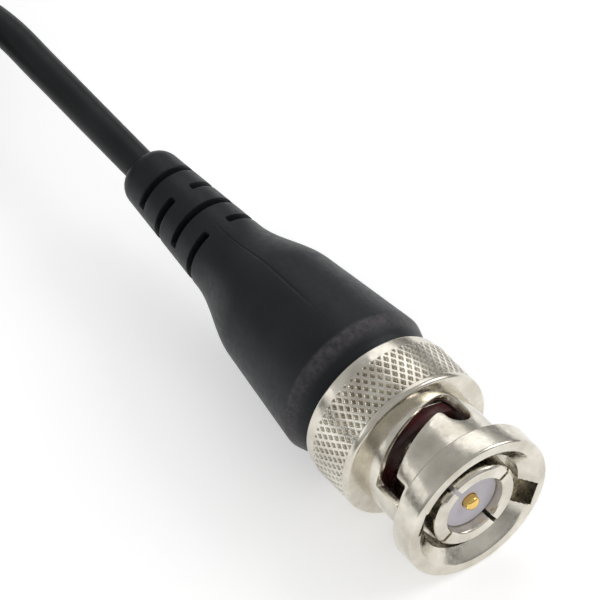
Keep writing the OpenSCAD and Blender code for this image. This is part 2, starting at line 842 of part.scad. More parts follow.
// Ribbed slide button, stem through the shell, and foot inside it
module switch_slider() {
    top = handle_r + 0.75;
    seat = handle_r - button_sink;
    rib_w = 0.6;
    rib_h = 0.3;
    rib_pitch = 1.2;
    foot_w = stem_w + 1.2;
    foot_t = 0.6;
    foot_top = sqrt(pow(handle_bore_r, 2) - pow(foot_w / 2, 2)) - stem_gap;
    color("#c9ccd0") at_head() {
        upper_box(button_w, switch_at - button_len / 2, switch_at + button_len / 2, seat, top);
        for (i = [-2:2])
            let (at = switch_at + i * rib_pitch)
                upper_box(button_w, at - rib_w / 2, at + rib_w / 2, top - 0.01, top + rib_h);
        upper_box(stem_w, switch_at - stem_len / 2, switch_at + stem_len / 2,
            foot_top - 0.01, seat + 0.01);
        upper_box(foot_w, switch_at - stem_len / 2, switch_at + stem_len / 2,
            foot_top - foot_t, foot_top);
    }
}

module finger_guard() {
    lip = 1.4;
    color("#26292d") at_head()
        difference() {
            rotate_extrude() polygon(concat(
                [[0, handle_front - spigot_len], [handle_bore_r - 0.05, handle_front - spigot_len],
                 [handle_bore_r - 0.05, handle_front], [handle_r, handle_front]],
                arc(guard_r - lip, handle_front + lip, lip, -90, 0),
                arc(guard_r - lip, guard_front - lip, lip, 0, 90),
                [[nose_r + 0.6, guard_front], [nose_r, guard_front + 0.8], [nose_r - 0.3, nose_end],
                 [0, nose_end]]
            ));
            rod(sleeve_r + seat_gap, 0, nose_end + over);
        }
}

module ground_sleeve() {
    color("silver") at_head() tube(sleeve_r, sleeve_r - sleeve_wall, sleeve_rear, sleeve_end);
}

module ground_ring() {
    color("silver") at_head()
        difference() {
            tube(ring_r, sleeve_r + seat_gap, nose_end, nose_end + ring_len);
            rotate_extrude()
                translate([ring_r - 0.3, nose_end + 1.1]) square([over, 1]);
        }
}

module tip_insulator() {
    color("white") at_head()
        difference() {
            rotate_extrude() polygon([
                [0, sleeve_rear + 1], [tip_insulator_r, sleeve_rear + 1],
                [tip_insulator_r, sleeve_end + 0.4], [1.2, tip_insulator_end],
                [0, tip_insulator_end]
            ]);
            rod(needle_r + seat_gap, 0, tip_insulator_end + over);
        }
}

module probe_tip() {
    color("#d9c27a") at_head()
        rotate_extrude() polygon([
            [0, needle_rear], [needle_r, needle_rear], [needle_r, needle_end - 1.2],
            [0.08, needle_end], [0, needle_end]
        ]);
}

// Sleeve that grips the barrel and the needle and holds the hook
module hook_carrier() {
    color("#3a3d42") at_head()
        difference() {
            rod(carrier_r, carrier_rear, carrier_end);
            rod(sleeve_r + seat_gap, 0, tip_insulator_end + 0.3);
            rod(needle_r + seat_gap, 0, needle_end + 0.05);
            rod(hook_wire_d / 2 + seat_gap, needle_end, carrier_end + over);
        }
}

module hook_wire() {
    wire_r = hook_wire_d / 2;
    color("silver") at_head() {
        rod(wire_r, needle_end + 0.06, hook_at);
        translate([0, hook_r, hook_at]) rotate([90, 0, -90])
            rotate_extrude(angle = 180) translate([hook_r, 0]) circle(r = wire_r, $fn = 24);
        translate([0, 2 * hook_r, 0]) rod(wire_r, hook_at - 0.6, hook_at);
    }
}

module sheath_spring() {
    sides = 6;
    per_turn = 14;
    n = spring_turns * per_turn;
    from = carrier_end + spring_wire_r + 0.05;
    to = spring_end - spring_wire_r - 0.05;
    function centre(i) = let (a = 360 * i / per_turn)
        [spring_r * cos(a), spring_r * sin(a), from + (to - from) * i / n];
    ring = [for (i = [0:n]) let (a = 360 * i / per_turn)
        each [for (s = [0:sides - 1]) let (b = 360 * s / sides)
            centre(i) + spring_wire_r * [cos(b) * cos(a), cos(b) * sin(a), sin(b)]]];
    skin = [for (i = [0:n - 1]) for (s = [0:sides - 1])
        let (a = i * sides + s, b = i * sides + (s + 1) % sides)
        each [[a, a + sides, b], [b, a + sides, b + sides]]];
    color("lightsteelblue") at_head()
        polyhedron(ring, concat(skin,
            [[for (s = [0:sides - 1]) s]],
            [[for (s = [sides - 1:-1:0]) n * sides + s]]));
}

module hook_sheath() {
    flange_h = 1.8;
    color("#26292d") at_head()
        difference() {
            rotate_extrude() polygon(concat(
                [[0, sheath_rear]],
                arc(sheath_r + 0.6, sheath_rear + 0.3, 0.3, -90, 0),
                arc(sheath_r + 0.6, sheath_rear + flange_h - 0.3, 0.3, 0, 90),
                [[sheath_r - 0.1, sheath_rear + flange_h], [sheath_r - 0.5, spring_end - 4],
                 [sheath_r - 0.7, spring_end], [nozzle_r + 0.2, sheath_end - 2], [nozzle_r, sheath_end],
                 [0, sheath_end]]
            ));
            rod(sheath_bore_r, 0, spring_end);
            rod(hook_wire_d / 2 + 0.2, 0, sheath_end + over);
        }
}

coupling_nut();
snap_ring();
thrust_washer();
wave_washers();
plug_body();
gasket();
insulator();
rear_insulator();
centre_pin();
inner_conductor();
dielectric();
braid();
crimp_ferrule();
inner_mould();
boot();
cable();
cable_hank();
head_lead();
hank_strap();
head_strain_relief();
handle_top();
handle_bottom();
head_board();
head_wires();
trimmer_base();
trimmer_rotor();
tip_resistor();
switch_slider();
finger_guard();
ground_sleeve();
ground_ring();
tip_insulator();
probe_tip();
hook_carrier();
hook_wire();
sheath_spring();
hook_sheath();
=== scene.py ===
"""Looks of the oscilloscope probe: plug, boot, tied lead and probe head."""

import json
import math

import bmesh
import bpy
from mathutils import Matrix, Vector
from mathutils.geometry import convex_hull_2d, delaunay_2d_cdt


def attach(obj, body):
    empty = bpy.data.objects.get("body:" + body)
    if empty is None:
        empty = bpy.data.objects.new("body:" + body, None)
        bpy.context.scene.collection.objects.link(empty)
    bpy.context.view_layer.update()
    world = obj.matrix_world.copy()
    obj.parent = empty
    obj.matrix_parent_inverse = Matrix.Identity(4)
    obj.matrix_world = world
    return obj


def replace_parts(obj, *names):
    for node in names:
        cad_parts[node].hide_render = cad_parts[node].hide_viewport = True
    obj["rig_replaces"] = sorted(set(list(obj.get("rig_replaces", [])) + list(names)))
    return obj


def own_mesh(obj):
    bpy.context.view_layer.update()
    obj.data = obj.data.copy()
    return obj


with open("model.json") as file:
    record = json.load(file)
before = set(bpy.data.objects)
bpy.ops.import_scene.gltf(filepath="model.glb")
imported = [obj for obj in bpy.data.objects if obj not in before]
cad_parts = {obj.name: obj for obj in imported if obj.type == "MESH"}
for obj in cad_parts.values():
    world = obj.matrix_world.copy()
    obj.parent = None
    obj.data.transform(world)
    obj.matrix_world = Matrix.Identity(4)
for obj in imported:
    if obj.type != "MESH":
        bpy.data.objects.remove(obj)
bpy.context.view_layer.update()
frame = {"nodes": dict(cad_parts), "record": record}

# ---- sizes, as the CAD part has them -------------------------------------------
# Lengths are in millimetres and angles in degrees, except where a comment says
# otherwise. Along the plug, a place is counted from the coupling nut's rim.
MM = 0.001
PLUG_LEN = 47.1
AXIS_H = 7.25
CORD_D = 2.95
CORD_R = CORD_D / 2
NUT_TRAVEL, COVER_TRAVEL = 0.8, 6

# ---- camera --------------------------------------------------------------------
PICTURE = 600
PX_PER_M = 12100  # the photo's scale
RIM_PX = (480.6, 508.9)  # where the middle of the rim is in the photo
VIEW_BACK = Vector((-0.393, -0.530, 0.751)).normalized()
VIEW_RIGHT = Vector((0.803, -0.596, 0)).normalized()
CAMERA_FAR, CLIP_NEAR = 0.9, 0.01  # metres
SENSOR_MM = 36


def add_camera():
    up = VIEW_BACK.cross(VIEW_RIGHT)
    rim = Vector((0, -PLUG_LEN / 2, AXIS_H)) * MM
    aside = (RIM_PX[0] - PICTURE / 2) / PX_PER_M
    below = (RIM_PX[1] - PICTURE / 2) / PX_PER_M
    target = rim - VIEW_RIGHT * aside + up * below
    data = bpy.data.cameras.new("camera")
    data.sensor_width = SENSOR_MM
    data.lens = SENSOR_MM * CAMERA_FAR / (PICTURE / PX_PER_M)
    data.clip_start = CLIP_NEAR
    camera = bpy.data.objects.new("camera", data)
    turn = Matrix((VIEW_RIGHT, up, VIEW_BACK)).transposed().to_4x4()
    camera.matrix_world = Matrix.Translation(target + VIEW_BACK * CAMERA_FAR) @ turn
    bpy.context.scene.collection.objects.link(camera)
    bpy.context.scene.camera = camera


add_camera()


# ---- materials -----------------------------------------------------------------
class Nodes:
    """Short names for building one procedural material."""

    def __init__(self, name):
        self.material = bpy.data.materials.new(name)
        self.material.use_nodes = True
        self.tree = self.material.node_tree
        self.shader = self.tree.nodes["Principled BSDF"]
        self.place = self.add("ShaderNodeTexCoord").outputs["Object"]

    def add(self, kind, **settings):
        node = self.tree.nodes.new(kind)
        for key, value in settings.items():
            setattr(node, key, value)
        return node

    def join(self, source, target):
        self.tree.links.new(source, target)

    def set(self, **values):
        """Constants on the shader's own sockets."""
        for key, value in values.items():
            self.shader.inputs[key.replace("_", " ")].default_value = value

    def combine(self, operation, first, second):
        """Two sockets taken together."""
        node = self.add("ShaderNodeMath", operation=operation)
        self.join(first, node.inputs[0])
        self.join(second, node.inputs[1])
        return node.outputs[0]

    def scaled(self, scale):
        mapping = self.add("ShaderNodeMapping")
        mapping.inputs["Scale"].default_value = scale
        self.join(self.place, mapping.inputs["Vector"])
        return mapping.outputs["Vector"]

    def noise(self, size_mm, stretch=(1, 1, 1), detail=3.0, rough=0.5):
        """Noise of a real grain size."""
        noise = self.add("ShaderNodeTexNoise")
        noise.inputs["Scale"].default_value = 1000 / size_mm
        noise.inputs["Detail"].default_value = detail
        noise.inputs["Roughness"].default_value = rough
        self.join(self.scaled(stretch), noise.inputs["Vector"])
        return noise.outputs["Fac"]

    def ramp(self, value, low, high, at=(0.3, 0.7)):
        """A value mapped to colours or greys between two places."""
        ramp = self.add("ShaderNodeValToRGB")
        first, last = ramp.color_ramp.elements
        first.position, last.position = at
        first.color = (*low, 1) if hasattr(low, "__len__") else (low, low, low, 1)
        last.color = (*high, 1) if hasattr(high, "__len__") else (high, high, high, 1)
        self.join(value, ramp.inputs["Fac"])
        return ramp.outputs["Color"]

    def bump(self, height, depth_mm, below=None):
        """Relief of a real depth, on top of another relief."""
        bump = self.add("ShaderNodeBump")
        bump.inputs["Strength"].default_value = 1.0
        bump.inputs["Distance"].default_value = depth_mm * MM
        self.join(height, bump.inputs["Height"])
        if below:
            self.join(below, bump.inputs["Normal"])
        return bump.outputs["Normal"]

    def colour(self, socket):
        self.join(socket, self.shader.inputs["Base Color"])

    def roughness(self, socket):
        self.join(socket, self.shader.inputs["Roughness"])

    def normal(self, socket):
        self.join(socket, self.shader.inputs["Normal"])


RUBBER_SHINE = 0.22
LIP_CREST_SHEEN = ((17.75, 17.25), (15.6, 16.8))  # places where the painted highlight on the lip's crest starts and is full
# the grey of the painted highlight on the lip's crest
LIP_SHEEN_GREY = (0.085, 0.078, 0.084, 1)
RIB_SCALE = 0.52
RIB_DEPTH, FUZZ_DEPTH = 0.06, 0.02
METALS = {  # dark, light, roughness; then the tool lines' grain, stretch and depth
    "nickel": ((0.55, 0.51, 0.435), (0.80, 0.765, 0.675), (0.10, 0.30), 0.2, (0.2, 1, 0.2), 0.004),
    "spring_steel": ((0.46, 0.46, 0.47), (0.58, 0.58, 0.58), (0.25, 0.4)),
    "gold": ((0.80, 0.52, 0.13), (0.90, 0.63, 0.20), (0.12, 0.2)),
    "copper": ((0.62, 0.30, 0.16), (0.75, 0.42, 0.24), (0.2, 0.35)),
    "needle": ((0.72, 0.57, 0.30), (0.82, 0.67, 0.38), (0.15, 0.25)),
    "trimmer_brass": ((0.55, 0.38, 0.14), (0.68, 0.50, 0.22), (0.2, 0.35)),
    "tinned_braid": ((0.50, 0.48, 0.45), (0.66, 0.64, 0.60), (0.3, 0.45), 0.3, (1, 0.3, 1), 0.05),
}
PLASTICS = {  # dark, light, roughness
    # the gasket's own dark maroon, whose darker end is painted shade: patches near black for the
    # shade inside the slot
    "gasket_rubber": ((0.020, 0.005, 0.006), (0.115, 0.012, 0.018), (0.4, 0.55)),
    "white_insulator": ((0.74, 0.71, 0.79), (0.83, 0.80, 0.86), (0.35, 0.5)),
    "cable_core": ((0.78, 0.78, 0.74), (0.86, 0.86, 0.83), (0.5, 0.6)),
    "inner_mould": ((0.04, 0.04, 0.045), (0.06, 0.06, 0.065), (0.5, 0.6)),
    "handle": ((0.030, 0.032, 0.036), (0.042, 0.044, 0.050), (0.4, 0.52)),
    "board": ((0.02, 0.16, 0.06), (0.03, 0.22, 0.09), (0.2, 0.3)),
    "ceramic": ((0.66, 0.62, 0.52), (0.74, 0.70, 0.60), (0.5, 0.6)),
    "resistor": ((0.10, 0.25, 0.40), (0.14, 0.30, 0.48), (0.25, 0.35)),
    "carrier": ((0.06, 0.06, 0.07), (0.08, 0.08, 0.09), (0.4, 0.5)),
    "sheath": ((0.030, 0.032, 0.036), (0.042, 0.044, 0.050), (0.38, 0.5)),
    "switch": ((0.50, 0.51, 0.53), (0.58, 0.59, 0.61), (0.35, 0.45)),
}


def metal(name, dark, light, rough, grain=0.25, lines=(1, 1, 1), depth=0.002):
    """Plated or bare metal with faint stains, uneven polish and fine tool lines."""
    m = Nodes(name)
    m.set(Metallic=1.0)
    m.colour(m.ramp(m.noise(2.5), dark, light))
    m.roughness(m.ramp(m.noise(0.6, detail=5.0), *rough))
    m.normal(m.bump(m.noise(grain, stretch=lines, detail=2.0), depth))
    return m


def plastic(name, dark, light, rough, grain=0.15, depth=0.004, stain_and_shade=4.0, shine=0.5):
    """Moulded plastic or rubber with a fine spark-eroded grain."""
    m = Nodes(name)
    m.set(Specular_IOR_Level=shine)
    # patches between the two colours: stains, and on the gasket also painted shade
    m.colour(m.ramp(m.noise(stain_and_shade), dark, light))
    m.roughness(m.ramp(m.noise(grain * 4, detail=4.0), *rough))
    m.normal(m.bump(m.noise(grain, detail=3.0), depth))
    return m


def cable_rubber():
    dark, light = (0.010, 0.0115, 0.012), (0.017, 0.019, 0.020)
    return plastic("cable", dark, light, (0.38, 0.48), shine=RUBBER_SHINE)


def boot_rubber():
    """Black rubber, whose front lip has a painted highlight in grey specks near its crest."""
    dark, light = (0.010, 0.0120, 0.0140), (0.0165, 0.0195, 0.0225)
    m = plastic("boot", dark, light, (0.36, 0.48), 0.14, 0.014, shine=RUBBER_SHINE)
    spot = m.add("ShaderNodeSeparateXYZ")
    m.join(m.place, spot.inputs[0])
    # painted highlight: grey specks, full just in front of the lip's crest, fading out behind the
    # crest and towards the metal
    crest_sheen = m.ramp(m.noise(0.5, detail=4.0, rough=0.7), 0.35, 1.0, (0.35, 0.65))
    for start, end in LIP_CREST_SHEEN:
        part = m.add("ShaderNodeMapRange", interpolation_type="SMOOTHSTEP")
        part.inputs["From Min"].default_value = (start - PLUG_LEN / 2) * MM
        part.inputs["From Max"].default_value = (end - PLUG_LEN / 2) * MM
        m.join(spot.outputs["Y"], part.inputs["Value"])
        crest_sheen = m.combine("MULTIPLY", part.outputs["Result"], crest_sheen)
    mix = m.add("ShaderNodeMix", data_type="RGBA")
    first, second, mixed = mix.inputs[6], mix.inputs[7], mix.outputs[2]  # its colour sockets
    m.join(crest_sheen, mix.inputs["Factor"])
    m.join(m.shader.inputs["Base Color"].links[0].from_socket, first)
    second.default_value = LIP_SHEEN_GREY
    m.colour(mixed)
    return m


def webbing():
    """Woven nylon: fine ribs both ways along the strap's own length, with some fuzz."""
    dark, light = (0.014, 0.014, 0.016), (0.034, 0.034, 0.037)
    m = plastic("strap", dark, light, (0.7, 0.9), stain_and_shade=0.4, shine=0.3)
    along = m.add("ShaderNodeUVMap", uv_map="along").outputs["UV"]
    ribs = []
    for direction in ("X", "Y"):
        wave = m.add("ShaderNodeTexWave", bands_direction=direction)
        wave.inputs["Scale"].default_value = RIB_SCALE
        wave.inputs["Distortion"].default_value = 0.4
        m.join(along, wave.inputs["Vector"])
        ribs.append(wave.outputs["Fac"])
    weave = m.bump(m.combine("MULTIPLY", *ribs), RIB_DEPTH)
    m.normal(m.bump(m.noise(0.12, detail=3.0), FUZZ_DEPTH, below=weave))
    return m


materials = {slot: metal(slot, *look).material for slot, look in METALS.items()}
materials |= {slot: plastic(slot, *look).material for slot, look in PLASTICS.items()}
materials["cable"] = cable_rubber().material
materials["boot"] = boot_rubber().material
materials["strap"] = webbing().material
node_slots = {s["node"]: s["material_slot"] for s in frame["record"]["subparts"]}
for node, slot in node_slots.items():
    data = frame["nodes"][node].data
    data.materials.clear()
    data.materials.append(materials[slot])


# ---- helpers -------------------------------------------------------------------
WELD = 1e-7  # metres


def smooth(t):
    """An even ease from 0 to 1."""
    return t * t * (3 - 2 * t)


def fade(t):
    """The same ease, held at 0 before it and at 1 after it."""
    return smooth(min(1, max(0, t)))


def at_plug(r, turn, p):
    """A point by its radius, its turn and its place on the plug's axis."""
    turn = math.radians(turn)
    return Vector((r * math.cos(turn), p - PLUG_LEN / 2, AXIS_H - r * math.sin(turn))) * MM


def arc(x, y, r, first, last, steps=5):
    """Points of an arc about a centre, such as a rounding in a (radius, place) profile."""
    turns = [math.radians(first + (last - first) * i / steps) for i in range(steps + 1)]
    return [(x + r * math.cos(t), y + r * math.sin(t)) for t in turns]


def front_edge(r, p, e):
    """A rounded outer corner that looks forwards."""
    return arc(r - e, p + e, e, -90, 0)


def rear_edge(r, p, e, steps=5):
    """A rounded outer corner that looks backwards."""
    return arc(r - e, p - e, e, 0, 90, steps)


def skin(bm, rings, closed=False, inward=False):
    """Quads from each ring to the next, and from the last to the first if closed."""
    for low, high in zip(rings, rings[1:] + (rings[:1] if closed else [])):
        for i in range(len(low)):
            k = (i + 1) % len(low)
            quad = (low[i], high[i], high[k], low[k])
            bm.faces.new(quad[:1] + quad[:0:-1] if inward else quad)


def spaced(values, gap):
    """The values in order, without any that is too near the one before."""
    values = sorted(values)
    kept = values[:1]
    for value in values[1:]:
        if value - kept[-1] > gap:
            kept.append(value)
    return kept


def link(obj):
    bpy.context.scene.collection.objects.link(obj)
    return obj


def add_piece(name, bm, node, body, sharp=40):
    """A piece from a bmesh: shaded smooth below an angle, on its body, in its node's place."""
    data = bpy.data.meshes.new(name)
    bm.normal_update()
    bm.to_mesh(data)
    bm.free()
    data.shade_smooth()
    data.set_sharp_from_angle(angle=math.radians(sharp))
    data.materials.append(materials[node_slots[node]])
    obj = link(bpy.data.objects.new(name, data))
    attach(obj, body)
    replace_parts(obj, node)
    return obj


def add_turned(name, profile, node, sharp=40, steps=96):
    """A closed lathe piece about the plug's axis."""
    bm = bmesh.new()
    turns = [360 * i / steps for i in range(steps)]
    skin(bm, [[bm.verts.new(at_plug(r, t, p)) for t in turns] for r, p in profile], closed=True)
    bmesh.ops.remove_doubles(bm, verts=bm.verts, dist=WELD)
    bmesh.ops.recalc_face_normals(bm, faces=bm.faces)
    return add_piece(name, bm, node, "plug", sharp)


def add_copy(node, name, bevel, body="plug", angle=30):
    """A copy of a CAD node's mesh with rounded edges, in its node's place."""
    bm = bmesh.new()
    bm.from_mesh(frame["nodes"][node].data)
    bmesh.ops.remove_doubles(bm, verts=bm.verts, dist=WELD)
    flat = math.radians(0.6)
    bmesh.ops.dissolve_limit(
        bm, angle_limit=flat, verts=bm.verts, edges=bm.edges, delimit={"NORMAL"}
    )
    obj = add_piece(name, bm, node, body, 180 if bevel else 40)
    if bevel:
        mod = obj.modifiers.new("edges", "BEVEL")
        mod.width = bevel * MM
        mod.segments = 2
        mod.limit_method = "ANGLE"
        mod.angle_limit = math.radians(angle)
        mod.harden_normals = True
    return obj


# ---- the coupling nut ----------------------------------------------------------
# Its angles are counted from the middle of a cam slot, and its two half turns are alike.
NUT_ROLL = 242.4
FLANGE_R, FLANGE_LEN = 7.1, 2.5
MOUTH_R, MOUTH_DEPTH, BORE_R = 6.1, 1.1, 4.9
BARREL_R, BARREL_END = 5.75, 8.6
COLLAR_R, KNURL_FRONT, KNURL_REAR = 7.25, 9.3, 13.35
BAND_R, NUT_LEN, CAVITY_R, CAVITY_FRONT = 7.0, 14.6, 6.1, 9.5
HALF_FROM, HALF_TO = -94, 86
# the knurl: a ridge is flat for RIDGE_FLAT of a pitch and falls over RIDGE_SIDE
KNURL_COUNT, KNURL_ROWS, KNURL_DEPTH = 60, 7, 0.36
RIDGE_FLAT, RIDGE_SIDE = 0.17, 0.31
KNURL_R, UNDER_KNURL_R = COLLAR_R - 0.03, 6.65
# the lugs' channels in the mouth, and their grooves behind it, up to the slot
CHANNEL_R, CHANNEL_SIDES = 6.2, (4.9, 5.1, 5.35, 5.56, 5.8, 6.0, 6.2, 6.31)
GROOVE_R, GROOVE_END, GROOVE_FADE = 5.56, 3.62, 0.25
# the cam slot: its entry, the ramp's rear edge and window, and the pocket at its end
ENTRY_ANGLE, ENTRY_W, ENTRY_FRONT, ENTRY_REAR = 43, 2.35, 3.6, 6.626
RAMP_FROM, RAMP_FROM_REAR, RAMP_REAR, RAMP_RISE = 41, 6.66, 7.4, 0.018
WINDOW_W, WINDOW_LOSS, WINDOW_SPAN = 2.05, 0.8, 89.5
POCKET_AT, POCKET_R, POCKET_FRONT, POCKET_REAR, POCKET_LIP = -50.5, 1.25, 6.1, 7.06, 0.6
EDGE, UNDERCUT, UNDERCUT_R = 0.07, 0.3, 5.3
# where the barrel's flat wall has points between its ends, clear of the slot
WALL_ROWS = [FLANGE_LEN + 0.4 * k for k in range(1, 15)]
WALL_STEP, WALL_CLEAR, MERGE = 2, 0.5, 1e-5
GROOVE_SIDES, GROOVE_ROWS = (12.2, 12.7, 13.3, 13.9), (2.8, 3.1)


def at_nut(r, a, p):
    return at_plug(r, NUT_ROLL - a, p)


def rolled(a, p):
    """A point of the barrel's wall rolled flat."""
    return (math.radians(a) * BARREL_R, p)


def slot_outline():
    """The cam slot's window, rolled flat, with softened corners."""
    pocket = math.degrees(math.asin(POCKET_R / BARREL_R))
    side = ENTRY_ANGLE - math.degrees(math.asin(ENTRY_W / 2 / BARREL_R))
    far_side = 2 * ENTRY_ANGLE - side

    def rear(a):
        return RAMP_REAR - RAMP_RISE * a

    def front(a):
        return rear(a) - (WINDOW_W - WINDOW_LOSS * (RAMP_FROM - a) / WINDOW_SPAN)

    def pocket_end(place, first, count):
        turns = [math.radians(first + 15 * i) for i in range(count)]
        return [(POCKET_AT + pocket * math.cos(t), place + POCKET_R * math.sin(t)) for t in turns]

    points = [(far_side, ENTRY_FRONT), (far_side, ENTRY_REAR), (RAMP_FROM, RAMP_FROM_REAR)]
    points += [(a, rear(a)) for a in range(RAMP_FROM - 3, -50, -3)]
    points += pocket_end(POCKET_REAR, 105, 6) + pocket_end(POCKET_FRONT, 180, 13)
    for t in (0.98, 0.9, 0.75, 0.5, 0.2, 0):
        a = POCKET_AT + pocket + math.degrees(POCKET_LIP / BARREL_R) * (1 - t)
        points.append((a, front(a) - POCKET_LIP * (1 - math.sqrt(1 - t * t))))
    points += [(a, front(a)) for a in range(-28, 30, 3)]
    points += [(side, front(side)), (side, ENTRY_FRONT)]
    return softened([rolled(a, p) for a, p in points])


def softened(points, gap=0.07, reach=2, rounds=2):
    """A closed outline resampled evenly, its corners rounded by averaging."""
    even = []
    for a, b in zip(points, points[1:] + points[:1]):
        count = max(1, round(math.dist(a, b) / gap))
        even += [(a[0] + (b[0] - a[0]) * k / count, a[1] + (b[1] - a[1]) * k / count)
                 for k in range(count)]
    for _ in range(rounds):
        size = len(even)
        near = [[even[(i + k) % size] for k in range(-reach, reach + 1)] for i in range(size)]
        even = [tuple(sum(c) / len(g) for c in zip(*g)) for g in near]
    return even


def offset(points, by):
    """A closed outline moved outwards."""
    size = len(points)
    area = sum(a[0] * b[1] - b[0] * a[1] for a, b in zip(points, points[1:] + points[:1]))
    sign = 1 if area > 0 else -1
    out = []
    for i, (u, p) in enumerate(points):
        a, b = points[i - 2], points[(i + 2) % size]
        du, dp = b[0] - a[0], b[1] - a[1]
        length = math.hypot(du, dp)
        out.append((u + sign * dp / length * by, p - sign * du / length * by))
    return out


def inside(point, outline):
    hit = False
    for (x0, y0), (x1, y1) in zip(outline, outline[1:] + outline[:1]):
        if (y0 > point[1]) != (y1 > point[1]):
            if point[0] < (x1 - x0) * (point[1] - y0) / (y1 - y0) + x0:
                hit = not hit
    return hit


def around():
    """Angles round the nut's half turn: even, and closer at the channel's two sides."""
    angles = set(range(HALF_FROM, HALF_TO))
    for side in (-1, 1):
        for r in CHANNEL_SIDES:
            angles.add(round(ENTRY_ANGLE + side * math.degrees(math.asin(ENTRY_W / 2 / r)), 3))
    return sorted(angles)


def channel(a, wall):
    """How far out the lug's channel reaches at an angle, up to the radius of its wall."""
    away = abs(math.radians(a - ENTRY_ANGLE))
    if away > 0.5:
        return 0
    if away < 0.01:
        return wall
    return min(wall / math.cos(away), ENTRY_W / 2 / math.sin(away))


def inner_r(a, p):
    """The bore's radius, or the lugs' groove where it runs up to the slot."""
    groove = max(BORE_R, channel(a, GROOVE_R))
    return groove + (BORE_R - groove) * fade((p - GROOVE_END) / GROOVE_FADE)


class Rings:
    """A mesh made ring by ring round the plug's axis, in two like half turns."""

    def __init__(self, angles):
        self.bm = bmesh.new()
        self.angles = angles + [a + 180 for a in angles]

    def ring(self, radius, p):
        verts = []
        for a in self.angles:
            half = a - 180 if a >= HALF_TO else a
            r = radius(half) if callable(radius) else radius
            verts.append(self.bm.verts.new(at_nut(r, a, p)))
        return verts

    def lathe(self, profile):
        skin(self.bm, [self.ring(r, p) for r, p in profile])


def flat_wall(outline, lip):
    """The barrel's wall rolled flat and cut into faces.

    Gives its points, its faces outside the slot's lip, and the numbers of the lip's points.
    """
    angles = around() + [HALF_TO]
    half = len(angles)
    flat = [rolled(a, p) for p in (FLANGE_LEN, BARREL_END) for a in angles]
    flat += [rolled(a, p) for a in (HALF_FROM, HALF_TO) for p in WALL_ROWS]
    first_lip = len(flat)
    flat += lip
    edges = [(first_lip + i, first_lip + (i + 1) % len(lip)) for i in range(len(lip))]
    edges += [(i, i + 1) for i in range(2 * half) if i not in (half - 1, 2 * half - 1)]
    clear = offset(outline, WALL_CLEAR)
    columns = range(HALF_FROM + WALL_STEP, HALF_TO, WALL_STEP)
    grid = [rolled(a, p) for a in columns for p in WALL_ROWS]
    flat += [spot for spot in grid if not inside(spot, clear)]
    for side in (-1, 1):
        for away in GROOVE_SIDES:
            flat += [rolled(ENTRY_ANGLE + side * away, p) for p in GROOVE_ROWS]
    flat = [Vector(spot) for spot in flat]
    spots, _, faces, sources, *_ = delaunay_2d_cdt(flat, edges, [], 0, MERGE)
    number = {s: i for i, group in enumerate(sources) for s in group}
    kept = []
    for face in faces:
        middle = sum((spots[i] for i in face), Vector((0, 0))) / len(face)
        if not inside(middle, lip):
            kept.append(face)
    return spots, kept, [number[first_lip + i] for i in range(len(lip))]


def barrel(bm, outline):
    """The barrel's wall in both half turns, with the slot's softened and undercut edge."""
    spots, faces, at_lip = flat_wall(outline, offset(outline, EDGE))
    used = sorted({i for face in faces for i in face})
    under = offset(outline, UNDERCUT)
    hidden = dict(zip(at_lip, under))
    for turn in (0, 180):

        def point(r, spot):
            a = math.degrees(spot[0] / BARREL_R)
            return bm.verts.new(at_nut(max(r, inner_r(a, spot[1])), a + turn, spot[1]))

        outer = {i: point(BARREL_R, spots[i]) for i in used}
        inner = {i: point(BORE_R, hidden.get(i, spots[i])) for i in used}
        for face in faces:
            bm.faces.new([outer[i] for i in face])
            bm.faces.new([inner[i] for i in reversed(face)])
        steps = []
        for t in (math.radians(30), math.radians(60), math.radians(90)):
            out = offset(outline, EDGE * (1 - math.sin(t)))
            steps.append((BARREL_R - EDGE * (1 - math.cos(t)), out))
        steps.append((UNDERCUT_R, outline))
        steps += [(UNDERCUT_R - 0.04, offset(outline, 0.04)), (UNDERCUT_R - 0.1, under)]
        loops = [[point(r, spot) for spot in line] for r, line in steps]
        loops = [[outer[i] for i in at_lip], *loops, [inner[i] for i in at_lip]]
        skin(bm, loops, inward=True)


def knurl(bm):
    """Rounded ridges that cross, with a pit in each diamond, closed inside the nut's wall."""
    around_n, along_n = KNURL_COUNT * 10, KNURL_ROWS * 8
    pitch = (KNURL_REAR - KNURL_FRONT) / KNURL_ROWS
    grid = []
    for k in range(along_n + 1):
        j = KNURL_ROWS * k / along_n
        p = KNURL_FRONT + j * pitch
        ends = fade(min(k, along_n - k) / 2)
        row = []
        for i in range(around_n):
            c = KNURL_COUNT * i / around_n
            d = min(abs(v - round(v)) for v in (c + j / 2, c - j / 2))
            pit = KNURL_DEPTH * fade((d - RIDGE_FLAT) / RIDGE_SIDE) * ends
            row.append(bm.verts.new(at_nut(KNURL_R - pit, 360 * c / KNURL_COUNT, p)))
        grid.append(row)
    turns = [360 * i / around_n for i in range(around_n)]
    for p in (KNURL_REAR - 0.05, KNURL_FRONT + 0.05):
        grid.append([bm.verts.new(at_nut(UNDER_KNURL_R - 0.15, a, p)) for a in turns])
    skin(bm, grid, closed=True)


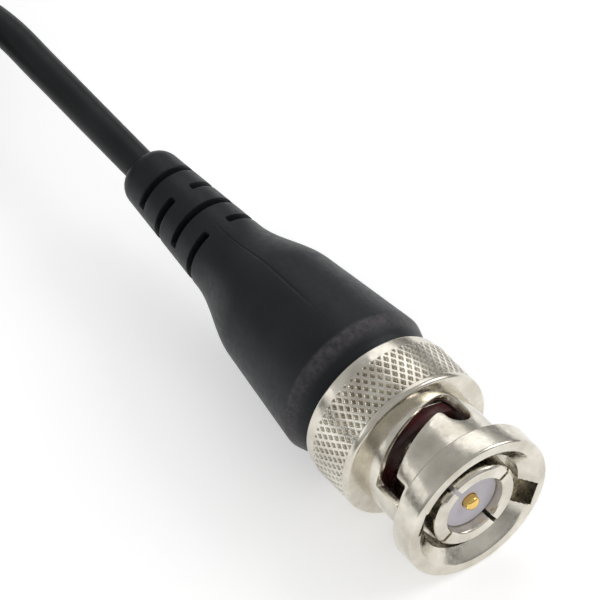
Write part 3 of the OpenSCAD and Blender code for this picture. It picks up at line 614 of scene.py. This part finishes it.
def add_nut():
    def bore(a):
        return inner_r(a, FLANGE_LEN)

    def cut(r, more=0):
        """A radius, or the channels' where they reach further out."""
        return lambda a: max(r, channel(a, CHANNEL_R)) + more

    rings = Rings(around())
    mouth = [(bore, FLANGE_LEN), (bore, 2.4), (cut(BORE_R), 2.36)]
    for depth in (MOUTH_DEPTH, 0.8, 0.5, 0.2, 0.04):
        cone = BORE_R + (MOUTH_R - BORE_R) * (1 - depth / MOUTH_DEPTH)
        mouth.append((cut(cone), depth))
    rings.lathe(
        mouth
        + [(cut(MOUTH_R, 0.05), 0), (6.35, 0), (6.6, 0)]
        + front_edge(FLANGE_R, 0, 0.3)
        + rear_edge(FLANGE_R, FLANGE_LEN, 0.15)
        + [(6.4, FLANGE_LEN), (BARREL_R, FLANGE_LEN)]
    )
    barrel(rings.bm, slot_outline())
    rings.lathe(
        [(BARREL_R, BARREL_END), (6.3, BARREL_END)]
        + front_edge(COLLAR_R, BARREL_END, 0.35)
        + rear_edge(COLLAR_R, KNURL_FRONT, 0.06, 3)
        + [(UNDER_KNURL_R, KNURL_FRONT), (UNDER_KNURL_R, KNURL_REAR)]
        + [(COLLAR_R - 0.04, KNURL_REAR), (BAND_R, KNURL_REAR + 0.08)]
        + rear_edge(BAND_R, NUT_LEN, 0.2)
        + [(CAVITY_R + 0.05, NUT_LEN), (CAVITY_R, NUT_LEN - 0.05), (CAVITY_R, CAVITY_FRONT)]
        + [(BORE_R, CAVITY_FRONT), (BORE_R, BARREL_END)]
    )
    knurl(rings.bm)
    bmesh.ops.remove_doubles(rings.bm, verts=rings.bm.verts, dist=20 * WELD)
    bmesh.ops.recalc_face_normals(rings.bm, faces=rings.bm.faces)
    add_piece("nut", rings.bm, "coupling_nut", "nut", 28)


add_nut()

# ---- the boot ------------------------------------------------------------------
BOOT_ROLL = 260.4
BOOT_FRONT, RIDGE_AT, NECK_AT, TAIL_AT, CAP_AT = 14.9, 17.4, 27.5, 34.8, 45.5
BOOT_FRONT_R, BOOT_R, TAPER_R, TAIL_R, TAIL_END_R = 6.3, 7.2, 5.85, 3.7, 2.75
BOOT_EDGE, LIP_CURVE, CAP_LEN = 0.2, 1.12, 1.6
HOLLOW_R, HOLLOW_STEP, HOLLOW_END = 4.37, 2, 40
# the strain relief's slots: two in each ring, a quarter turn on from ring to ring
SLOT_RINGS = [43.4 - 2.57 * i for i in (3, 2, 1, 0)]
SLOT_FLAT, SLOT_EDGE, SLOT_FLOOR_R = 0.12, 0.26, 2.2
SLOT_ARC, SLOT_END = 70, 4
SLOT_STEPS = (0.12, 0.17, 0.21, 0.25, 0.29, 0.33, 0.38, 0.5, 0.7)
# the mould's seam: its depth, its half width in degrees, and where it fades in and out
SEAM_DEPTH, SEAM_HALF = 0.06, 1.5
SEAM_FROM, SEAM_FADE_IN, SEAM_FADE_OUT = 20, 6, 1.5


def boot_radius(p):
    """The lip, the taper, the neck that blends into the tail, the tail, and its round cap."""
    if p < RIDGE_AT:
        t = (RIDGE_AT - p) / (RIDGE_AT - BOOT_FRONT)
        return BOOT_R - (BOOT_R - BOOT_FRONT_R) * t**LIP_CURVE
    if p < NECK_AT:
        return BOOT_R + (TAPER_R - BOOT_R) * (p - RIDGE_AT) / (NECK_AT - RIDGE_AT)
    if p < TAIL_AT:
        neck = TAIL_AT - NECK_AT
        t = (p - NECK_AT) / neck
        first = TAPER_R + (TAPER_R - BOOT_R) / (NECK_AT - RIDGE_AT) * neck * t
        last = TAIL_R + (TAIL_END_R - TAIL_R) / (CAP_AT - TAIL_AT) * neck * (t - 1)
        return first + (last - first) * smooth(t)
    if p < CAP_AT:
        return TAIL_R + (TAIL_END_R - TAIL_R) * (p - TAIL_AT) / (CAP_AT - TAIL_AT)
    t = min(1, (p - CAP_AT) / (PLUG_LEN - CAP_AT))
    return CORD_R + (TAIL_END_R - CORD_R) * math.sqrt(1 - t * t)


def turn_between(a, b):
    """The smaller angle between two directions."""
    return abs((a - b + 180) % 360 - 180)


def slot_depth(turn, p):
    """0 outside the strain relief's slots and 1 on their floors."""
    deepest = 0
    for k, at in enumerate(SLOT_RINGS):
        across = 1 - fade((abs(p - at) - SLOT_FLAT) / SLOT_EDGE)
        if across == 0:
            continue
        for middle in (90, 270):
            away = turn_between(turn, BOOT_ROLL + 90 * (k % 2) + middle)
            deepest = max(deepest, across * (1 - fade((away - SLOT_ARC) / SLOT_END)))
    return deepest


def boot_skin(turn, p):
    """The boot's radius with its slots and its mould's seam."""
    r = boot_radius(p)
    seam = min(turn_between(turn, BOOT_ROLL), turn_between(turn, BOOT_ROLL + 180))
    fades = fade((p - SEAM_FROM) / SEAM_FADE_IN)
    fades *= 1 - fade((p - TAIL_AT) / SEAM_FADE_OUT)
    dip = SEAM_DEPTH * fades * (1 - fade(seam / SEAM_HALF))
    return r - dip - (r - SLOT_FLOOR_R) * slot_depth(turn, p)


def boot_turns():
    """Turns round the boot: even, and closer at the slots' ends and at the seam."""
    turns = {3 * k for k in range(120)}
    for k in range(4):
        for away in range(SLOT_ARC, SLOT_ARC + 7):
            turns |= {(BOOT_ROLL + 90 * k + s * away) % 360 for s in (-1, 1)}
    for seam in (BOOT_ROLL, BOOT_ROLL + 180):
        turns |= {(seam + s * away) % 360 for s in (-1, 1) for away in (0, 0.5, 1, 1.5, 2.2)}
    return spaced(turns, 0.2)


def boot_places():
    """Places along the boot: even, and closer at the slots and the cap."""
    places = [BOOT_FRONT + 0.35 * k for k in range(1, 88)]
    places += [at + s * d for at in SLOT_RINGS for s in (-1, 1) for d in SLOT_STEPS]
    places += [CAP_AT + CAP_LEN * math.sin(math.radians(9 * k)) for k in range(11)]
    return spaced(places, 0.03)


def add_boot():
    bm = bmesh.new()
    turns = boot_turns()

    def ring(r, p):
        return [bm.verts.new(at_plug(r, t, p)) for t in turns]

    rings = [ring(HOLLOW_R, BOOT_FRONT + 0.01), ring(BOOT_FRONT_R - 1, BOOT_FRONT)]
    for a in (0, 30, 60, 90):
        a = math.radians(a)
        r = BOOT_FRONT_R - BOOT_EDGE * (1 - math.sin(a))
        rings.append(ring(r, BOOT_FRONT + BOOT_EDGE * (1 - math.cos(a))))
    for p in boot_places():
        if p > BOOT_FRONT + BOOT_EDGE + 0.05:
            rings.append([bm.verts.new(at_plug(boot_skin(t, p), t, p)) for t in turns])
    rings += [
        ring(CORD_R - 0.02, PLUG_LEN - 0.3),
        ring(CORD_R + 0.02, HOLLOW_END),
        ring(HOLLOW_R, BOOT_FRONT + HOLLOW_STEP),
    ]
    skin(bm, rings, closed=True)
    bmesh.ops.recalc_face_normals(bm, faces=bm.faces)
    add_piece("moulded_boot", bm, "boot", "plug", 60)


add_boot()

# ---- the plug's small round parts, as (radius, place) profiles -------------------
PIN_R, PIN_TIP, PIN_REAR = 0.675, 0.5, 10.35
NOSE_R, NOSE_LEN = 0.6, 0.4


def pin_nose():
    """The pin's domed tip, from near its middle out to its full radius."""
    turns = [math.radians(9 * i) for i in range(11)]
    return [
        (PIN_R - NOSE_R * (1 - math.sin(t)), PIN_TIP + NOSE_LEN * (1 - math.cos(t)))
        for t in turns
    ]


PIN = [
    (0, PIN_REAR), (0, PIN_TIP - 0.01), (0.03, PIN_TIP - 0.008), *pin_nose(),
    (PIN_R, 1.9), (0.5, 1.92), (0.5, PIN_REAR),
]
INSULATOR = [(0.72, 10.4), (0.72, 1.36), (0.78, 1.3), (2.7, 1.3), (2.83, 1.42), (2.83, 10.4)]
SEAL = [(3.97, 7.35), (4.05, 7.27), (4.7, 7.27), (4.8, 7.37), (4.8, 8.2), (4.7, 8.3), (3.97, 8.3)]
add_turned("pin", PIN, "centre_pin", 50)
add_turned("face_insulator", INSULATOR, "insulator")
add_turned("seal", SEAL, "gasket")
add_copy("plug_body", "contact_body", 0.06, angle=40)

# the springs, which shorten when the nut and the hook's cover are pulled, copied with meshes of
# their own
for node, name, joint, travel in (
    ("wave_washers", "wave_spring", "nut_pull", NUT_TRAVEL),
    ("sheath_spring", "cover_spring", "sheath_pull", COVER_TRAVEL),
):
    spring = add_copy(node, name, 0)
    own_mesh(spring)

# ---- the lead ------------------------------------------------------------------
CABLE_ROUTE = [
    (0, -0.5, 7.25), (0, 7, 7.25), (0, 15, 7.25), (0, 23, 7.25), (0, 31, 7.25),
    (0, 38, 7.25), (0, 44, 7.1), (0, 50, 5.2), (0, 56, 2.7), (0, 62, 2.2),
]
HEAD_ROUTE = [
    (-18.6, 53, 10.1), (-13.4, 51.6, 11.4), (-8.2, 53, 12.6), (-4.4, 56.8, 13.6),
    (-2.95, 62, 14.3), (-2.95, 68, 14.5), (-2.95, 74, 14.5), (-2.95, 81, 14.5),
    (-2.95, 88, 14.5),
]
INNER_FOLD = 10.4
OUTER_FOLD = INNER_FOLD + CORD_D
HANK_X, HANK_Z = -OUTER_FOLD, 0.7
NEAR_FOLD_Y, FAR_FOLD_Y = 62, 118
FOLD_STEPS = 6
ASIDE = 1.6
TURNS = [  # fold radius, layer, and how far the near fold swings aside after it
    (OUTER_FOLD, 0, 0), (INNER_FOLD, 0, -ASIDE), (INNER_FOLD, 1, 0),
    (OUTER_FOLD, 1, ASIDE), (OUTER_FOLD, 2, 0), (INNER_FOLD, 2, 0),
]


def hank_points():
    """The folded lead, turn by turn, from the incoming lead to where it rises to the head."""
    points = []
    runs = [NEAR_FOLD_Y + (FAR_FOLD_Y - NEAR_FOLD_Y) * k / 4 for k in (1, 2, 3)]
    for i, (radius, layer, aside) in enumerate(TURNS):
        height = HANK_Z + CORD_R + layer * CORD_D
        points += [(HANK_X + radius, y, height) for y in runs]
        for k in range(FOLD_STEPS + 1):
            a = math.pi * k / FOLD_STEPS
            x, y = radius * math.cos(a), radius * math.sin(a)
            points.append((HANK_X + x, FAR_FOLD_Y + y, height))
        points += [(HANK_X - radius, y, height) for y in reversed(runs)]
        points.append((HANK_X - radius, NEAR_FOLD_Y, height))
        if i == len(TURNS) - 1:
            break
        next_radius, next_layer, _ = TURNS[i + 1]
        for k in range(1, FOLD_STEPS + 1):
            t = k / FOLD_STEPS
            a = math.pi * (1 + t)
            r = radius + (next_radius - radius) * smooth(t) + aside * math.sin(math.pi * t)
            z = height + (next_layer - layer) * CORD_D * smooth(t)
            points.append((HANK_X + r * math.cos(a), NEAR_FOLD_Y + r * math.sin(a), z))
    return points


def add_lead():
    points = [Vector(p) * MM for p in CABLE_ROUTE + hank_points() + HEAD_ROUTE]
    data = bpy.data.curves.new("lead", "CURVE")
    data.dimensions = "3D"
    data.bevel_depth = CORD_R * MM
    data.bevel_resolution = 6
    data.resolution_u = 8
    data.use_fill_caps = True
    spline = data.splines.new("BEZIER")
    spline.bezier_points.add(len(points) - 1)
    for place, point in zip(points, spline.bezier_points):
        point.co = place
        point.handle_left_type = point.handle_right_type = "AUTO"
    data.materials.append(materials["cable"])
    obj = link(bpy.data.objects.new("lead", data))
    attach(obj, "plug")
    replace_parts(obj, "cable", "cable_hank", "head_lead")
    return obj


lead = add_lead()

# ---- the strap -----------------------------------------------------------------
STRAP_W, STRAP_Y, STRAP_T, LAP_T = 10, 93, 0.6, 0.55
STRAP_EDGE, RIB_H, RIBS = 0.22, 0.05, 8
LIFT = 0.02  # above what the strap goes round, and above itself where it laps
LAP_STEPS, LAP_END = 26, 3
HANK_R, HANK_H, HANK_CORNER = 14.825, 8.85, 1.3
HEAD_X, HEAD_Z, HEAD_R = -2.95, 14.5, 5.0


def strap_path(gap=0.8, rounds=2):
    """The closed line round the hank and the head, in (x, z), with its outward normals."""
    right, left = HANK_X + HANK_R - HANK_CORNER, HANK_X - HANK_R + HANK_CORNER
    top, bottom = HANK_Z + HANK_H - HANK_CORNER, HANK_Z + HANK_CORNER
    spots = []
    corners = ((right, top), (left, top), (left, bottom), (right, bottom))
    for quarter, (x, z) in enumerate(corners):
        spots += arc(x, z, HANK_CORNER, 90 * quarter, 90 * quarter + 90, 6)
    spots += arc(HEAD_X, HEAD_Z, HEAD_R, 0, 355, 71)
    spots = [Vector(spot) for spot in spots]
    hull = [spots[i] for i in convex_hull_2d(spots)]
    even = []
    for a, b in zip(hull, hull[1:] + hull[:1]):
        count = max(1, round((b - a).length / gap))
        even += [a + (b - a) * k / count for k in range(count)]
    size = len(even)
    for _ in range(rounds):
        even = [(even[i - 1] + even[i] * 2 + even[(i + 1) % size]) / 4 for i in range(size)]
    normals = []
    for i in range(size):
        way = (even[(i + 1) % size] - even[i - 1]).normalized()
        normals.append(Vector((way.y, -way.x)))
    middle = sum(even, Vector((0, 0))) / size
    if normals[0].dot(even[0] - middle) < 0:
        normals = [-n for n in normals]
    return even, normals


def strap_section(thick, narrow=1.0):
    """Round-edged section of the webbing with ribs on top, as (across, out) points."""
    half = STRAP_W / 2 - STRAP_EDGE
    top = thick - STRAP_EDGE
    points = []
    low = STRAP_EDGE
    for x, z, first in ((half, low, -90), (half, top, 0), (-half, top, 90), (-half, low, 180)):
        points += arc(x, z, STRAP_EDGE, first, first + 90, 3)
        if first == 0:
            for k in range(1, RIBS):
                points.append((half - 2 * half * k / RIBS, thick + RIB_H * (k % 2)))
    return [(across * narrow, out) for across, out in points]


def sweep(bm, path, normals, lifts, sections, closed, uv):
    """Each point's own section, carried along the path at the point's own lift."""
    rings, runs, run = [], [], 0.0
    for i, (spot, normal) in enumerate(zip(path, normals)):
        if i:
            run += (spot - path[i - 1]).length
        runs.append(run)
        ring = []
        for across, out in sections[i]:
            q = spot + normal * (lifts[i] + out)
            ring.append(bm.verts.new(Vector((q.x, STRAP_Y + across, q.y)) * MM))
        rings.append(ring)
    pairs = list(zip(range(len(rings)), range(1, len(rings))))
    if closed:
        pairs.append((len(rings) - 1, 0))
    size = len(rings[0])
    for a, b in pairs:
        far = runs[b] if b else run + (path[0] - path[-1]).length
        for j in range(size):
            k = (j + 1) % size
            face = bm.faces.new((rings[a][j], rings[a][k], rings[b][k], rings[b][j]))
            for loop in face.loops:
                first = loop.vert in (rings[a][j], rings[a][k])
                loop[uv].uv = (runs[a] if first else far, loop.vert.co.y / MM)
    if not closed:
        bm.faces.new(list(reversed(rings[0])))
        bm.faces.new(rings[-1])


def add_strap():
    """Woven hook-and-loop strap, closed by an end that laps over itself on the slope."""
    path, normals = strap_path()
    size = len(path)
    bm = bmesh.new()
    uv = bm.loops.layers.uv.new("along")
    sweep(bm, path, normals, [LIFT] * size, [strap_section(STRAP_T)] * size, True, uv)
    start = max(range(size), key=lambda i: path[i].y - 0.4 * path[i].x)
    order = [(start + k) % size for k in range(LAP_STEPS)]
    if path[order[1]].x > path[order[0]].x:
        order = [(start - k) % size for k in range(LAP_STEPS)]
    sections, lifts = [], []
    for k in range(LAP_STEPS):
        end = fade((LAP_STEPS - 1 - k) / LAP_END + 0.25)
        sections.append(strap_section(LAP_T, 0.55 + 0.45 * end))
        lifts.append(STRAP_T * fade(k / LAP_END) + LIFT)
    lap, lap_normals = [path[i] for i in order], [normals[i] for i in order]
    sweep(bm, lap, lap_normals, lifts, sections, False, uv)
    bmesh.ops.recalc_face_normals(bm, faces=bm.faces)
    add_piece("woven_strap", bm, "hank_strap", "plug", 50)


add_strap()

# ---- the head's own pieces: the CAD forms with moulded edges ----------------------
for node, name, bevel, body in (
    ("handle_top", "handle_upper_shell", 0.12, "plug"),
    ("handle_bottom", "handle_lower_shell", 0.12, "plug"),
    ("finger_guard", "guard", 0.12, "plug"),
    ("head_strain_relief", "head_relief", 0.1, "plug"),
    ("ground_ring", "collar_ring", 0.08, "plug"),
    ("ground_sleeve", "tip_barrel", 0.08, "plug"),
    ("hook_sheath", "sheath", 0.12, "hook_cover"),
    ("switch_slider", "switch_button", 0.1, "switch"),
    ("hook_carrier", "carrier", 0.1, "plug"),
):
    add_copy(node, name, bevel, body)

# ---- floor and light, in metres --------------------------------------------------
FLOOR_SIZE, FLOOR_GLOW = 3.0, 0.45
LAMP_FAR = 0.9
AIM = Vector((0, 0, 0.007))
SKY = [  # height of a direction, and how bright the studio is there
    (-1.0, 0.75), (-0.1, 0.75), (0.0, 0.38), (0.12, 0.28),
    (0.50, 0.58), (0.75, 0.48), (1.0, 0.52),
]


def seen_rays(m):
    """1 for what the camera sees directly, in metal or through glass, and otherwise 0."""
    path = m.add("ShaderNodeLightPath").outputs
    seen = m.combine("MAXIMUM", path["Is Camera Ray"], path["Is Glossy Ray"])
    return m.combine("MAXIMUM", seen, path["Is Transmission Ray"])


def add_floor():
    """A pale floor that keeps the object's shadow, and is lifted to white where it is seen."""
    m = Nodes("floor")
    m.colour(m.ramp(m.noise(400), (0.86, 0.86, 0.86), (0.88, 0.88, 0.88)))
    m.set(Roughness=0.9, Specular_IOR_Level=0.0, Emission_Color=(1, 1, 1, 1))
    glow = m.add("ShaderNodeMath", operation="MULTIPLY")
    glow.inputs[1].default_value = FLOOR_GLOW
    m.join(seen_rays(m), glow.inputs[0])
    m.join(glow.outputs[0], m.shader.inputs["Emission Strength"])
    bpy.ops.mesh.primitive_plane_add(size=FLOOR_SIZE)
    floor = bpy.context.object
    floor.name = "floor"
    floor.data.materials.append(m.material)


def add_lamp(name, towards, size, radiance):
    """A soft box in a direction from the object, of a real size and brightness."""
    data = bpy.data.lights.new(name, "AREA")
    data.shape = "RECTANGLE"
    data.size, data.size_y = size
    data.energy = radiance * math.pi * size[0] * size[1]
    lamp = link(bpy.data.objects.new(name, data))
    away = Vector(towards).normalized()
    lamp.location = AIM + away * LAMP_FAR
    lamp.rotation_euler = away.to_track_quat("Z", "Y").to_euler()


def add_world():
    """A plain studio: bright from below, dim at the horizon, middling overhead."""
    world = bpy.data.worlds.new("world")
    world.use_nodes = True
    tree = world.node_tree
    place = tree.nodes.new("ShaderNodeTexCoord")
    split = tree.nodes.new("ShaderNodeSeparateXYZ")
    ramp = tree.nodes.new("ShaderNodeValToRGB")
    half = tree.nodes.new("ShaderNodeMapRange")
    half.inputs["From Min"].default_value = -1
    while len(ramp.color_ramp.elements) < len(SKY):
        ramp.color_ramp.elements.new(0.5)
    for element, (height, level) in zip(ramp.color_ramp.elements, SKY):
        element.position = (height + 1) / 2
        element.color = (level, level, level, 1)
    ramp.color_ramp.interpolation = "EASE"
    tree.links.new(place.outputs["Generated"], split.inputs[0])
    tree.links.new(split.outputs["Z"], half.inputs["Value"])
    tree.links.new(half.outputs["Result"], ramp.inputs["Fac"])
    tree.links.new(ramp.outputs["Color"], tree.nodes["Background"].inputs["Color"])
    tree.nodes["Background"].inputs["Strength"].default_value = 1.0
    bpy.context.scene.world = world


add_floor()
add_world()
add_lamp("right_box", (0.50, 0.53, 0.70), (0.50, 0.50), 0.95)
add_lamp("left_box", (-0.80, 0.53, 0.35), (0.40, 0.22), 0.7)
add_lamp("key", (0.80, -0.35, 0.60), (0.5, 0.5), 3.0)
bpy.context.scene.view_settings.view_transform = "Standard"
